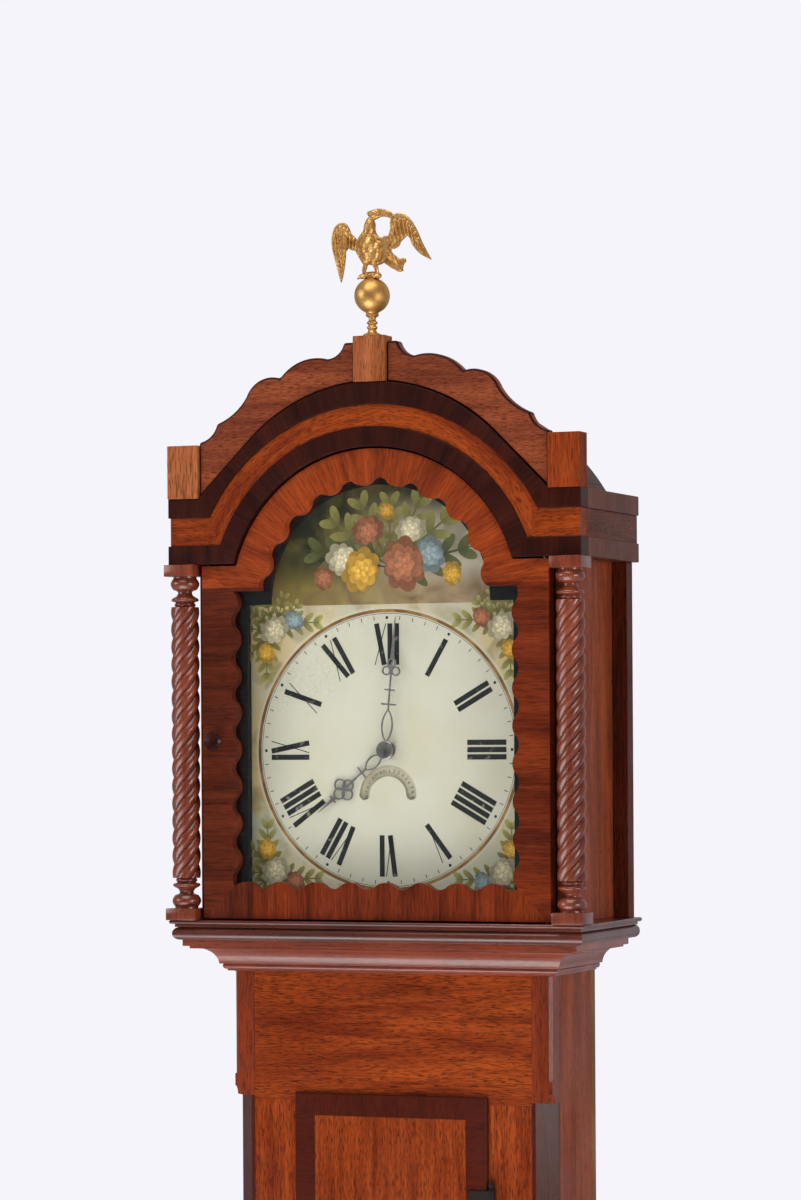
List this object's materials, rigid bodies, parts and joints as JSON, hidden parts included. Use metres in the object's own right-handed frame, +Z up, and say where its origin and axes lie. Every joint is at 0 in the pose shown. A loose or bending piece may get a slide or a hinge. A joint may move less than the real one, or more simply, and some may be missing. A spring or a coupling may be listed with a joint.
{
  "type": "longcase clock",
  "caption": "Longcase clock with an arched hood on twist columns, hinged hood and trunk doors, wheel trains, a long pendulum and a rope-hung weight.",
  "frame": {"origin": "on the floor, under the middle of the clock's overall width and depth", "axes": "+X to the right of someone facing the dial, +Y to the wall, +Z up"},
  "size_m": [0.494, 0.209, 2.1703],
  "materials": {
    "oak": "waxed oak",
    "pine": "bare, aged",
    "mahogany": "french polish",
    "pale_mahogany": "waxed",
    "mask_black": "matt black paint",
    "dial_white": "white dial paint",
    "glass": "clear",
    "gilt": "gilt",
    "brass": "grained brass",
    "steel": "blued steel",
    "iron": "black",
    "rope": "hemp rope"
  },
  "bodies": {
    "case": {"backboard": "pine", "trunk_sides": "oak", "trunk_frame": "oak", "corner_posts": "mahogany", "throat_moulding": "mahogany", "waist_moulding": "mahogany", "base_front": "oak", "base_sides": "oak", "plinth": "mahogany", "seatboard": "pine", "trunk_hinge_leaves": "iron", "dial_plate": "dial_white", "movement_plates": "brass", "movement_pillars": "brass", "movement_brackets": "steel", "bell": "brass", "drive_rope": "rope", "slack_rope": "rope"},
    "trunk_door": {"trunk_door": "oak", "trunk_hinge_straps": "iron", "trunk_escutcheon": "gilt"},
    "hood": {"hood_base": "mahogany", "hood_sides": "pale_mahogany", "hood_rear_posts": "mahogany", "dial_mask": "mask_black", "hood_architrave": "mahogany", "hood_frieze": "oak", "hood_cornice": "mahogany", "hood_roof": "pine", "cresting": "mahogany", "crest_blocks": "pale_mahogany", "hood_columns": "mahogany", "finial": "gilt"},
    "hood_door": {"hood_door_frame": "mahogany", "hood_door_glass": "glass", "hood_door_knob": "gilt", "hood_door_pivots": "steel"},
    "centre_arbor": {"centre_wheel": "brass", "minute_hand": "steel"},
    "hour_pipe": {"hour_wheel": "brass", "hour_hand": "steel"},
    "minute_wheel": {"minute_wheel": "brass"},
    "going_great": {"going_great_wheel": "brass"},
    "third": {"third_wheel": "brass"},
    "escape": {"escape_wheel": "brass"},
    "date": {"date_disc": "dial_white"},
    "strike_great": {"strike_great_wheel": "brass"},
    "pin_wheel": {"pin_wheel": "brass"},
    "hoop": {"hoop_wheel": "brass"},
    "warning": {"warning_wheel": "brass"},
    "fly": {"fly": "steel"},
    "count": {"count_wheel": "brass"},
    "hammer": {"hammer": "steel"},
    "lever": {"lifting_lever": "steel"},
    "anchor": {"anchor": "steel"},
    "pendulum": {"pendulum_rod": "steel", "pendulum_bob": "brass"},
    "weight": {"weight": "iron"},
    "weight_pulley": {"weight_pulley": "brass"},
    "ring": {"rope_ring": "iron"}
  },
  "joints": [
    {"name": "trunk_door_hinge", "type": "hinge", "parent": "case", "child": "trunk_door", "pos_m": [0.1194, -0.0439, 0.9], "axis": [0, 0, 1], "range_deg": [0, 150]},
    {"name": "hood_slide", "type": "slide", "parent": "case", "child": "hood", "axis": [0, -1, 0], "range_m": [0, 0.26]},
    {"name": "hood_door_hinge", "type": "hinge", "parent": "hood", "child": "hood_door", "pos_m": [0.2, -0.0805, 1.6], "axis": [0, 0, 1], "range_deg": [0, 95]},
    {"name": "third_turn", "type": "hinge", "parent": "case", "child": "third", "pos_m": [0.00839, 0, 1.6088], "axis": [0, 1, 0], "continuous": true},
    {"name": "minute_turn", "type": "hinge", "parent": "case", "child": "centre_arbor", "pos_m": [0, 0, 1.5775], "axis": [0, 1, 0], "continuous": true},
    {"name": "hour_turn", "type": "hinge", "parent": "case", "child": "hour_pipe", "pos_m": [0, 0, 1.5775], "axis": [0, 1, 0], "continuous": true},
    {"name": "minute_wheel_turn", "type": "hinge", "parent": "case", "child": "minute_wheel", "pos_m": [-0.0432, 0, 1.5775], "axis": [0, 1, 0], "continuous": true},
    {"name": "going_great_turn", "type": "hinge", "parent": "case", "child": "going_great", "pos_m": [0.0395, 0, 1.55594], "axis": [0, 1, 0], "continuous": true},
    {"name": "escape_turn", "type": "hinge", "parent": "case", "child": "escape", "pos_m": [0, 0, 1.63556], "axis": [0, 1, 0], "continuous": true},
    {"name": "date_turn", "type": "hinge", "parent": "case", "child": "date", "pos_m": [0, 0, 1.5265], "axis": [0, 1, 0], "continuous": true},
    {"name": "warning_turn", "type": "hinge", "parent": "case", "child": "warning", "pos_m": [-0.03677, 0, 1.64509], "axis": [0, 1, 0], "continuous": true},
    {"name": "hoop_turn", "type": "hinge", "parent": "case", "child": "hoop", "pos_m": [-0.03049, 0, 1.62162], "axis": [0, 1, 0], "continuous": true},
    {"name": "pin_wheel_turn", "type": "hinge", "parent": "case", "child": "pin_wheel", "pos_m": [-0.04316, 0, 1.59778], "axis": [0, 1, 0], "continuous": true},
    {"name": "strike_great_turn", "type": "hinge", "parent": "case", "child": "strike_great", "pos_m": [-0.0395, 0, 1.55594], "axis": [0, 1, 0], "continuous": true},
    {"name": "count_turn", "type": "hinge", "parent": "case", "child": "count", "pos_m": [-0.04534, 0, 1.58903], "axis": [0, 1, 0], "continuous": true},
    {"name": "fly_turn", "type": "hinge", "parent": "case", "child": "fly", "pos_m": [-0.0318, 0, 1.66364], "axis": [0, 1, 0], "continuous": true},
    {"name": "hammer_lift", "type": "hinge", "parent": "case", "child": "hammer", "pos_m": [-0.066, 0, 1.6175], "axis": [0, -1, 0], "range_deg": [0, 5]},
    {"name": "lever_lift", "type": "hinge", "parent": "case", "child": "lever", "pos_m": [-0.062, 0, 1.6015], "axis": [0, -1, 0], "range_deg": [0, 6]},
    {"name": "pendulum_swing", "type": "hinge", "parent": "case", "child": "pendulum", "pos_m": [0, 0.0725, 1.66526], "axis": [0, 1, 0], "range_deg": [-2.5, 2.5]},
    {"name": "anchor_rock", "type": "hinge", "parent": "case", "child": "anchor", "pos_m": [0, 0, 1.66526], "axis": [0, 1, 0], "range_deg": [-2.6, 2.6]},
    {"name": "weight_fall", "type": "slide", "parent": "case", "child": "weight", "axis": [0, 0, 1], "range_m": [-0.34, 0], "deforming": ["drive_rope"]},
    {"name": "weight_pulley_turn", "type": "hinge", "parent": "weight", "child": "weight_pulley", "pos_m": [0, 0.0236, 1.23494], "axis": [0, 1, 0], "continuous": true},
    {"name": "ring_rise", "type": "slide", "parent": "case", "child": "ring", "axis": [0, 0, 1], "range_m": [0, 0.34], "deforming": ["slack_rope"]}
  ],
  "couplings": [
    {"joint": "minute_turn", "follows": "third_turn", "ratio": -0.125},
    {"joint": "going_great_turn", "follows": "third_turn", "ratio": 0.03125},
    {"joint": "escape_turn", "follows": "third_turn", "ratio": -7.5},
    {"joint": "minute_wheel_turn", "follows": "third_turn", "ratio": 0.125},
    {"joint": "hour_turn", "follows": "third_turn", "ratio": -0.010417},
    {"joint": "hoop_turn", "follows": "warning_turn", "ratio": -0.125},
    {"joint": "pin_wheel_turn", "follows": "warning_turn", "ratio": 0.015625},
    {"joint": "strike_great_turn", "follows": "warning_turn", "ratio": -0.0026042},
    {"joint": "count_turn", "follows": "warning_turn", "ratio": 0.00043403},
    {"joint": "fly_turn", "follows": "warning_turn", "ratio": -7},
    {"joint": "anchor_rock", "follows": "pendulum_swing", "ratio": 1},
    {"joint": "ring_rise", "follows": "weight_fall", "ratio": -1}
  ]
}
